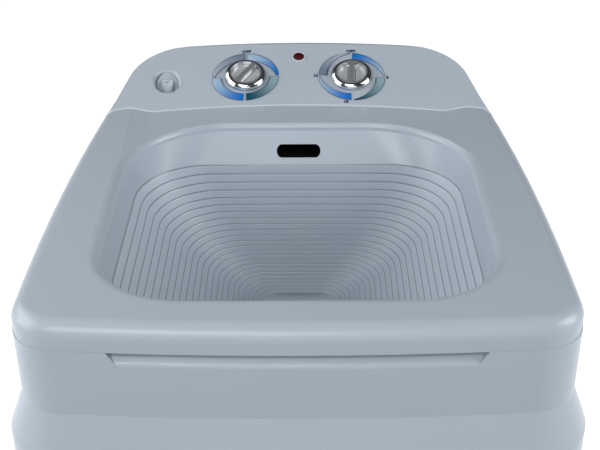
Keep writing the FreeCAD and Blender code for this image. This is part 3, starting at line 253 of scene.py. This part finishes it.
def paint_rib_shade(material):
    """Paints shade on each rib: the ring's number follows from the depth under the deck, and its fraction
    picks a painted dark line of shade along the groove and a painted light line just below. The painted lines
    fade towards the tub's middle plane, where the front light reaches into the grooves."""
    # Factors on the colour: the plain wall, the groove's painted shade and the painted light line below it.
    wall_shade = 0.97
    painted_groove_shade = 0.52
    painted_edge_light = 1.0
    half_ring = 0.5
    last_ring_margin = 0.3
    faint_half_width = 0.05
    full_half_width = 0.12
    faint_strength = 0.5
    tree = material.node_tree
    shader = tree.nodes["Principled BSDF"]
    link = tree.links.new

    def work_out(operation, first, second):
        """The result of a math node on two values, each of which is a plain number or another result."""
        node = tree.nodes.new("ShaderNodeMath")
        node.operation = operation
        for socket, value in zip(node.inputs, (first, second)):
            if isinstance(value, float):
                socket.default_value = value
            else:
                link(value, socket)
        return node.outputs["Value"]

    place = tree.nodes.new("ShaderNodeTexCoord")
    split = tree.nodes.new("ShaderNodeSeparateXYZ")
    link(place.outputs["Object"], split.inputs["Vector"])
    depth = work_out("SUBTRACT", deck_z, split.outputs["Z"])
    pitch = work_out("SUBTRACT", ring_rate, work_out("MULTIPLY", depth, ring_crowding))
    ring = work_out("DIVIDE", work_out("SUBTRACT", depth, rim_depth), pitch)
    painted_shades = tree.nodes.new("ShaderNodeValToRGB")
    stops = painted_shades.color_ramp.elements
    stops[0].color = (wall_shade, wall_shade, wall_shade, 1)
    stops[1].color = (wall_shade, wall_shade, wall_shade, 1)
    for position, shade in ((0.40, wall_shade), (0.45, painted_groove_shade), (0.55, painted_groove_shade),
                            (0.61, painted_edge_light), (0.69, painted_edge_light), (0.78, wall_shade)):
        stops.new(position).color = (shade, shade, shade, 1)
    link(work_out("FRACT", work_out("ADD", ring, half_ring), 0.0), painted_shades.inputs["Fac"])
    fade = tree.nodes.new("ShaderNodeMapRange")
    fade.inputs["From Min"].default_value = faint_half_width
    fade.inputs["From Max"].default_value = full_half_width
    fade.inputs["To Min"].default_value = faint_strength
    fade.inputs["To Max"].default_value = 1.0
    link(work_out("ABSOLUTE", split.outputs["X"], 0.0), fade.inputs["Value"])
    ribbed = work_out("LESS_THAN", ring, ring_count - last_ring_margin)
    mix = tree.nodes.new("ShaderNodeMix")
    mix.data_type = "RGBA"
    mix.blend_type = "MULTIPLY"
    factor, plain_colour, line_colour = mix.inputs[0], mix.inputs[6], mix.inputs[7]
    lined_colour = mix.outputs[2]
    link(work_out("MULTIPLY", ribbed, fade.outputs["Result"]), factor)
    link(shader.inputs["Base Color"].links[0].from_socket, plain_colour)
    link(painted_shades.outputs["Color"], line_colour)
    link(lined_colour, shader.inputs["Base Color"])


tub_plastic, ribbed_plastic_painted_shade = [
    finish(name, tub_grey_painted_light, shade=0.010, broad=6.0, roughness=0.33, grain=260.0, depth=0.06)
    for name in ("tub_plastic", "ribbed_plastic_painted_shade")]
paint_rib_shade(ribbed_plastic_painted_shade)
dress(tub_plastic, "wash_tub", "pulsator", "pulsator_cap")

# Each ring has rows of points at these shares of the step to the next, close together at a groove's bottom
# and edges. The lowest ring has no groove, so the two rows that would lead into one are left out.
# The turn runs clockwise, so that the faces look at the tub's axis.
rib_rows = np.array([0.0, 0.02, 0.12, 0.15, 0.18, 0.82, 0.85, 0.88, 0.98])
rib_places = (np.arange(ring_count)[:, None] + rib_rows).ravel()
rib_places = np.concatenate([[lining_top], rib_places[:-2], [float(ring_count)]])[:, None]
from_ring = np.abs(rib_places - np.round(rib_places))
grooves = groove_depth * np.maximum(1 - from_ring / groove_share, 0.0) * (rib_places < ring_count)
turn = -full_turn(lining_columns)
mouth = np.interp(rib_places, [well_mouth_ring, ring_count], [well_mouth_radius, well_radius])
wall = np.maximum(hopper_radius(turn, rib_places, grooves - lining_skin), mouth - lining_skin)
wall_z = deck_z - ring_depth(rib_places) + lining_skin * (rib_places == ring_count)
well = np.full((2, lining_columns), well_radius - lining_skin)
radius = np.concatenate([wall, well])
height = np.concatenate([wall_z, wall_z[-1:], [[well_low_z]]])
lining = points_from(radius * np.cos(turn), tub_axis_y + radius * np.sin(turn), height)
piece = add_piece("tub_lining", grid_mesh("tub_lining", lining, True), ribbed_plastic_painted_shade, "cabinet")
thicken(piece, lining_skin * lining_film_share)

# Overflow slot.
# A rubber liner pushed into the long slot in the rear band, ahead of the moulded water box. Both are coloured
# near black, darker than the black rubber and barely mirroring, as painted shade for the slot's dark inside.
painted_slot_shade_black = (0.002, 0.002, 0.002)
slot_specular = 0.05
slot_z = 0.78925
slot_radius = 0.00615
slot_half_straight = 0.01975
slot_columns = 64
slot_rows = 6
band_low_y = 0.103
band_low_z = 0.7766
band_run = 0.028
band_rise = 0.0314
liner_front_inset = 0.0005
liner_rear_y = 0.139
liner_film = 0.00008


def set_specular(material, level):
    """Sets how strongly a finish mirrors, where a half is plain plastic."""
    material.node_tree.nodes["Principled BSDF"].inputs["Specular IOR Level"].default_value = level


turn = -full_turn(slot_columns)
liner_x = slot_half_straight * np.sign(np.cos(turn)) + slot_radius * np.cos(turn)
liner_z = slot_z + slot_radius * np.sin(turn)
liner_front = band_low_y + (liner_z - band_low_z) * (band_run / band_rise) + liner_front_inset
share = np.linspace(0.0, 1.0, slot_rows)[:, None]
liner = points_from(liner_x, liner_front + (liner_rear_y - liner_front) * share, liner_z)
# Near black with little mirroring: painted shade inside the slot, on the liner and the water box.
slot_black_painted_shade = finish("slot_black_painted_shade", painted_slot_shade_black, shade=0.2, broad=60.0, roughness=0.9, grain=900.0, depth=0.2)
set_specular(slot_black_painted_shade, slot_specular)
dress(slot_black_painted_shade, "water_box")
piece = add_piece("slot_liner", grid_mesh("slot_liner", liner, True), slot_black_painted_shade, "cabinet")
thicken(piece, liner_film)

# Scoop of the inlet cup.
# The cup's upper side runs down from near the console's face to the spout's foot in one even slope, and its
# lower half is a flat floor along the face's tilt. On the real machine both are moulded with the cup.
face_tilt = math.radians(22.0)
face_axis_y = -0.642
face_radius = 0.830
face_low_z = 0.816
cup_across = -0.165
cup_up = 0.051
cup_half_width = 0.0148
cup_half_length = 0.0183
cup_corner = 0.0138
scoop_low = 0.020
scoop_high = 0.003
scoop_columns = 96
scoop_rows = 24
scoop_inner_share = 0.02
scoop_film = 0.0005


def on_console(across, up, lift):
    """Points on the dished console face, which is part of a cone. Across is along X, up is a step along
    the cone's side, and lift is along the face's outward normal."""
    reach = face_radius + up * math.cos(face_tilt)
    swing = np.arcsin(across / reach)
    inward = lift * math.sin(face_tilt)
    x = across - inward * np.sin(swing)
    y = face_axis_y + (reach - inward) * np.cos(swing)
    z = face_low_z + up * math.sin(face_tilt) + lift * math.cos(face_tilt)
    return points_from(x, y, z)


turn = full_turn(scoop_columns)
share = np.linspace(1.0, scoop_inner_share, scoop_rows)[:, None]
reach = rounded_reach(turn, cup_half_width, cup_half_length, cup_half_length, cup_corner) * share
rise = np.clip(reach * np.sin(turn) / cup_half_length, 0.0, 1.0)
depth = scoop_low + (scoop_high - scoop_low) * rise
scoop = on_console(cup_across + reach * np.cos(turn), cup_up + reach * np.sin(turn), -depth)
piece = add_piece("cup_scoop", grid_mesh("cup_scoop", scoop, True), body_plastic, "cabinet")
thicken(piece, scoop_film)

# Water spout in the inlet cup.
# A pale natural polypropylene tube that the filling hose pushes over.
spout_pale = (0.60, 0.66, 0.71)
spout_plastic = finish("spout_plastic", spout_pale, shade=0.02, broad=30.0, roughness=0.35, grain=800.0,
                       depth=0.15)
dress(spout_plastic, "inlet_spout")

# Dial prints on the console.
# Four arcs of ink round each knob, screen printed in grey, blue and teal that fade along the arc,
# each with a thin dark outline, and plain lettering for off and the minutes.
dial_across = 0.067
dial_up = 0.051
dial_radius = 0.0412
ink_lift = 0.00045
ink_specular = 0.08
outline_lift = 0.00036
outline_width = 0.00045
arc_steps = 49
arc_columns = 5
arc_swell = 0.22
off_size = 0.0066
off_up = 0.0962
minute_size = 0.0062
letter_weight = 0.035
navy = (0.008, 0.014, 0.07)
deep_blue = (0.006, 0.145, 0.50)
pale_blue = (0.34, 0.47, 0.60)
dark_teal = (0.002, 0.065, 0.10)
pale_green = (0.26, 0.38, 0.43)
mid_grey = (0.15, 0.20, 0.27)
light_grey = (0.35, 0.40, 0.47)


def ink(name, first, last):
    """Ink that fades along the arc, from the first colour to the last, with a faint print grain."""
    material = finish(name, last, shade=0.02, broad=200.0, roughness=0.33, grain=2500.0, depth=0.1)
    set_specular(material, ink_specular)
    tree = material.node_tree
    uv = tree.nodes.new("ShaderNodeUVMap")
    split = tree.nodes.new("ShaderNodeSeparateXYZ")
    fade = tree.nodes.new("ShaderNodeValToRGB")
    fade.color_ramp.interpolation = "EASE"
    fade.color_ramp.elements[0].color = list(first) + [1]
    fade.color_ramp.elements[1].color = list(last) + [1]
    tree.links.new(uv.outputs["UV"], split.inputs["Vector"])
    tree.links.new(split.outputs["X"], fade.inputs["Fac"])
    tree.links.new(fade.outputs["Color"], tree.nodes["Principled BSDF"].inputs["Base Color"])
    return material


def arc_points(centre, start, end, thick_start, thick_end, grow, lift):
    """An arc of a dial on the console, as wide inside the dial's radius as a line from thick_start to
    thick_end plus a half sine that fills out the taper. Angles run clockwise from the top in degrees,
    and grow widens the arc all round."""
    spread = math.degrees(grow / dial_radius)
    turn = np.radians(np.linspace(start - spread, end + spread, arc_steps))[:, None]
    half_sine = np.sin(np.linspace(0.0, 1.0, arc_steps) * math.pi)[:, None]
    swell = half_sine * abs(thick_end - thick_start) * arc_swell
    thick = np.linspace(thick_start, thick_end, arc_steps)[:, None] + swell + 2 * grow
    radius = dial_radius + grow - thick * np.linspace(0.0, 1.0, arc_columns)[None, :]
    return on_console(centre + radius * np.sin(turn), dial_up + radius * np.cos(turn), lift)


def add_print(name, mesh, material, lift):
    """A print as a piece of its own, closed from its lift down to the console's face."""
    piece = add_piece(name, mesh, material, "cabinet")
    thicken(piece, lift)


def print_word(name, text, size, across, up):
    """Flat lettering, turned into a mesh and laid on the console's face."""
    curve = bpy.data.curves.new(name, "FONT")
    curve.body = text
    curve.size = size
    curve.align_x = "CENTER"
    curve.align_y = "CENTER"
    curve.offset = size * letter_weight
    draft = bpy.data.objects.new(name + "_draft", curve)
    mesh = bpy.data.meshes.new_from_object(draft)
    bpy.data.objects.remove(draft)
    flat = np.empty(len(mesh.vertices) * 3)
    mesh.vertices.foreach_get("co", flat)
    flat = flat.reshape(-1, 3)
    laid = on_console(across + flat[:, 0], up + flat[:, 1], ink_lift)
    mesh.vertices.foreach_set("co", laid.ravel())
    mesh.materials.clear()
    add_print(name, mesh, outline_ink, ink_lift)


# Each arc has its name, first and last angle, first and last thickness, and first and last colour.
selector_arcs = [
    ("selector_upper_right", 3, 88, 0.0125, 0.0026, pale_blue, deep_blue),
    ("selector_lower_right", 92, 177, 0.0110, 0.0113, pale_green, dark_teal),
    ("selector_lower_left", 183, 268, 0.0113, 0.0110, deep_blue, pale_blue),
    ("selector_upper_left", 272, 357, 0.0026, 0.0125, light_grey, mid_grey),
]
timer_arcs = [
    ("timer_upper_right", 3, 88, 0.0103, 0.0006, deep_blue, pale_blue),
    ("timer_lower_right", 92, 177, 0.0108, 0.0006, pale_green, dark_teal),
    ("timer_lower_left", 183, 268, 0.0107, 0.0006, deep_blue, pale_blue),
    ("timer_upper_left", 272, 357, 0.0103, 0.0006, mid_grey, light_grey),
]
outline_ink = finish("outline_ink", navy, shade=0.05, broad=200.0, roughness=0.33, grain=2500.0, depth=0.1)
for centre, arcs in ((-dial_across, selector_arcs), (dial_across, timer_arcs)):
    for name, start, end, thick_start, thick_end, first, last in arcs:
        fill = arc_points(centre, start, end, thick_start, thick_end, 0.0, ink_lift)
        add_print(name, grid_mesh(name, fill), ink(name + "_ink", first, last), ink_lift)
        edge = arc_points(centre, start, end, thick_start, thick_end, outline_width, outline_lift)
        add_print(name + "_outline", grid_mesh(name + "_outline", edge), outline_ink, outline_lift)
print_word("selector_off", "OFF", off_size, across=-dial_across, up=off_up)
print_word("timer_off", "OFF", off_size, across=dial_across, up=off_up)
print_word("timer_five", "5", minute_size, across=0.1118, up=dial_up)
print_word("timer_ten", "10", minute_size, across=0.0585, up=0.0066)
print_word("timer_fifteen", "15", minute_size, across=0.0215, up=dial_up)

# Console foot trim.
# The thin rolled edge along the console's foot, moulded with the panel, that shows as a light line.
# Its colour is paler than the body's, a painted highlight along the edge.
# Its path is where the console's face meets the deck, with the deck's recess and its rolled sides.
trim_painted_highlight_pale = (0.52, 0.585, 0.65)
trim_radius = 0.0013
trim_half_width = 0.2345
trim_points = 321
trim_passes = 12
tube_sides = 12
tube_tip_share = 0.05
roll_radius = 0.015
roll_share = 0.97
recess_start_y = -0.151
recess_length = 0.339
recess_drop = 0.004
slope_middle = 0.192
slope_spread = 0.014
side_bow_radius = 3.4
side_bow_x = -3.1405
side_bow_y = -0.222


def tube_points(path, radius):
    """A round tube along a path of points: rings of points square to the path, closed almost to a point
    at both ends by a smaller radius."""
    along = np.gradient(path, axis=0)
    along /= np.linalg.norm(along, axis=1, keepdims=True)
    beside = np.cross(along, (0.0, 0.0, 1.0))
    beside /= np.linalg.norm(beside, axis=1, keepdims=True)
    above = np.cross(beside, along)
    swell = np.full(len(path), radius)
    swell[[0, -1]] = radius * tube_tip_share
    turn = full_turn(tube_sides)[:, :, None]
    ring = beside[:, None, :] * np.cos(turn) + above[:, None, :] * np.sin(turn)
    return path[:, None, :] + swell[:, None, None] * ring


# The foot's place depends on the deck's height there and the height on the place, so passes settle the two.
across = np.linspace(-trim_half_width, trim_half_width, trim_points)
level = np.full_like(across, face_low_z)
for pass_number in range(trim_passes):
    up = (level - face_low_z) / math.sin(face_tilt)
    foot = face_axis_y + np.sqrt((face_radius + up * math.cos(face_tilt)) ** 2 - across ** 2)
    share = (foot - recess_start_y) / recess_length
    crest = slope_middle + slope_spread * share
    dip = slope_middle - slope_spread * share
    sunk = recess_drop * share * np.clip((crest - np.abs(across)) / (crest - dip), 0.0, 1.0)
    roll_start = side_bow_x + np.sqrt(side_bow_radius ** 2 - (foot - side_bow_y) ** 2) - roll_radius
    over = np.clip(np.abs(across) - roll_start, 0.0, roll_radius * roll_share)
    level = deck_z - sunk - roll_radius + np.sqrt(roll_radius ** 2 - over ** 2)
trim = tube_points(points_from(across, foot, level), trim_radius)
# The trim's pale colour is a painted highlight.
trim_painted_highlight_plastic = finish("trim_painted_highlight_plastic", trim_painted_highlight_pale, shade=0.02, broad=30.0, roughness=0.33, grain=300.0,
                      depth=0.03)
piece = add_piece("console_trim", grid_mesh("console_trim", trim, True), trim_painted_highlight_plastic, "cabinet")

# Knobs and their inserts.
# Chrome-plated moulded knobs with a grip bar across, and pale satin half-moons glued in beside the bar.
chrome_grey = (0.72, 0.73, 0.75)
satin_grey = (0.58, 0.61, 0.64)
brush_marks = (1.0, 14.0, 14.0)
chrome = finish("chrome", chrome_grey, shade=0.03, broad=60.0, roughness=0.12, grain=900.0, depth=0.03,
                metallic=1.0)
satin = finish("satin_insert", satin_grey, shade=0.05, broad=120.0, roughness=0.36, grain=1400.0, depth=0.25,
               metallic=0.35, stretch=brush_marks)
dress(chrome, "selector_knob", "timer_knob")
dress(satin, "selector_inserts", "timer_inserts")

# Power lamp.
# A dark red polycarbonate dome, unlit, in a pale moulded rim.
dark_red = (0.050, 0.004, 0.007)
lamp_specular = 0.12
lamp_red = finish("lamp_red", dark_red, shade=0.25, broad=350.0, roughness=0.45, grain=600.0, depth=0.35)
set_specular(lamp_red, lamp_specular)
dress(lamp_red, "lamp_lens")
dress(spout_plastic, "lamp_bezel")

# Floor, light and camera.
# A pale sweep that glows to the rear and far away all round, with soft panels at the sides, in front,
# low in front and above, and a camera with a long lens that looks down at the deck.
floor_half = 60.0
floor_grey = (0.62, 0.63, 0.64)
near_glow = 0.05
rear_glow = 0.9
rear_glow_reach = 0.6
far_glow = 0.45
far_glow_start = 1.6
far_glow_end = 3.2
sky_colour = (0.98, 0.99, 1, 1)
sky_strength = 0.05
aim_height = 0.75
sensor_mm = 36.0
lens_mm = 67.62
camera_place = (0.0072, -1.0921, 1.3852)
camera_pan = math.radians(0.289)
camera_tilt = math.radians(59.952)
camera_roll = math.radians(-0.363)

mesh = bpy.data.meshes.new("floor")
corners = [(-floor_half, -floor_half, 0), (floor_half, -floor_half, 0), (floor_half, floor_half, 0),
           (-floor_half, floor_half, 0)]
mesh.from_pydata(corners, [], [(0, 1, 2, 3)])
floor = bpy.data.objects.new("floor", mesh)
bpy.context.scene.collection.objects.link(floor)
paper = finish("floor_paper", floor_grey, shade=0.01, broad=2.0, roughness=0.9, grain=60.0, depth=0.02)
mesh.materials.append(paper)
tree = paper.node_tree
shader = tree.nodes["Principled BSDF"]
shader.inputs["Emission Color"].default_value = (1, 1, 1, 1)


def glow_rise(value, start, end, high):
    """The floor's glow, which rises smoothly from the near glow where the value is start to high at end."""
    rise = tree.nodes.new("ShaderNodeMapRange")
    rise.interpolation_type = "SMOOTHSTEP"
    rise.inputs["From Min"].default_value = start
    rise.inputs["From Max"].default_value = end
    rise.inputs["To Min"].default_value = near_glow
    rise.inputs["To Max"].default_value = high
    tree.links.new(value, rise.inputs["Value"])
    return rise.outputs["Result"]


place = tree.nodes.new("ShaderNodeTexCoord")
split = tree.nodes.new("ShaderNodeSeparateXYZ")
distance = tree.nodes.new("ShaderNodeVectorMath")
distance.operation = "LENGTH"
brighter = tree.nodes.new("ShaderNodeMath")
brighter.operation = "MAXIMUM"
tree.links.new(place.outputs["Object"], split.inputs["Vector"])
tree.links.new(place.outputs["Object"], distance.inputs[0])
to_rear = glow_rise(split.outputs["Y"], -rear_glow_reach, rear_glow_reach, rear_glow)
far_away = glow_rise(distance.outputs["Value"], far_glow_start, far_glow_end, far_glow)
tree.links.new(to_rear, brighter.inputs[0])
tree.links.new(far_away, brighter.inputs[1])
tree.links.new(brighter.outputs["Value"], shader.inputs["Emission Strength"])

scene = bpy.context.scene
scene.view_settings.view_transform = "Standard"
world = bpy.data.worlds.new("studio")
scene.world = world
world.use_nodes = True
sky = world.node_tree.nodes["Background"]
sky.inputs["Color"].default_value = sky_colour
sky.inputs["Strength"].default_value = sky_strength


def soft_light(name, azimuth, elevation, distance, width, height, power):
    """A rectangular light that faces the middle of the deck. Azimuth is from the front towards +X."""
    lamp = bpy.data.lights.new(name, "AREA")
    lamp.shape = "RECTANGLE"
    lamp.size = width
    lamp.size_y = height
    lamp.energy = power
    piece = bpy.data.objects.new(name, lamp)
    scene.collection.objects.link(piece)
    piece.matrix_world = (Matrix.Translation((0.0, 0.0, aim_height))
                          @ Matrix.Rotation(math.radians(azimuth), 4, "Z")
                          @ Matrix.Rotation(math.radians(90 - elevation), 4, "X")
                          @ Matrix.Translation((0.0, 0.0, distance)))


soft_light("front", azimuth=-14.0, elevation=40.0, distance=2.6, width=1.5, height=1.1, power=27.0)
soft_light("top", azimuth=180.0, elevation=78.0, distance=2.4, width=1.6, height=1.6, power=1.4)
soft_light("left", azimuth=-80.0, elevation=24.0, distance=1.7, width=1.1, height=1.3, power=16.0)
soft_light("left_rear", azimuth=-115.0, elevation=30.0, distance=2.4, width=1.2, height=1.2, power=13.0)
soft_light("right", azimuth=80.0, elevation=24.0, distance=2.6, width=1.2, height=1.6, power=37.0)
soft_light("right_front", azimuth=62.0, elevation=36.0, distance=3.8, width=1.4, height=1.8, power=11.0)
soft_light("low", azimuth=0.0, elevation=14.0, distance=2.6, width=2.0, height=0.8, power=8.0)

camera_data = bpy.data.cameras.new("camera")
camera_data.sensor_width = sensor_mm
camera_data.lens = lens_mm
camera = bpy.data.objects.new("camera", camera_data)
scene.collection.objects.link(camera)
camera.matrix_world = (Matrix.Translation(camera_place) @ Matrix.Rotation(camera_pan, 4, "Z")
                       @ Matrix.Rotation(camera_tilt, 4, "X") @ Matrix.Rotation(camera_roll, 4, "Z"))
scene.camera = camera
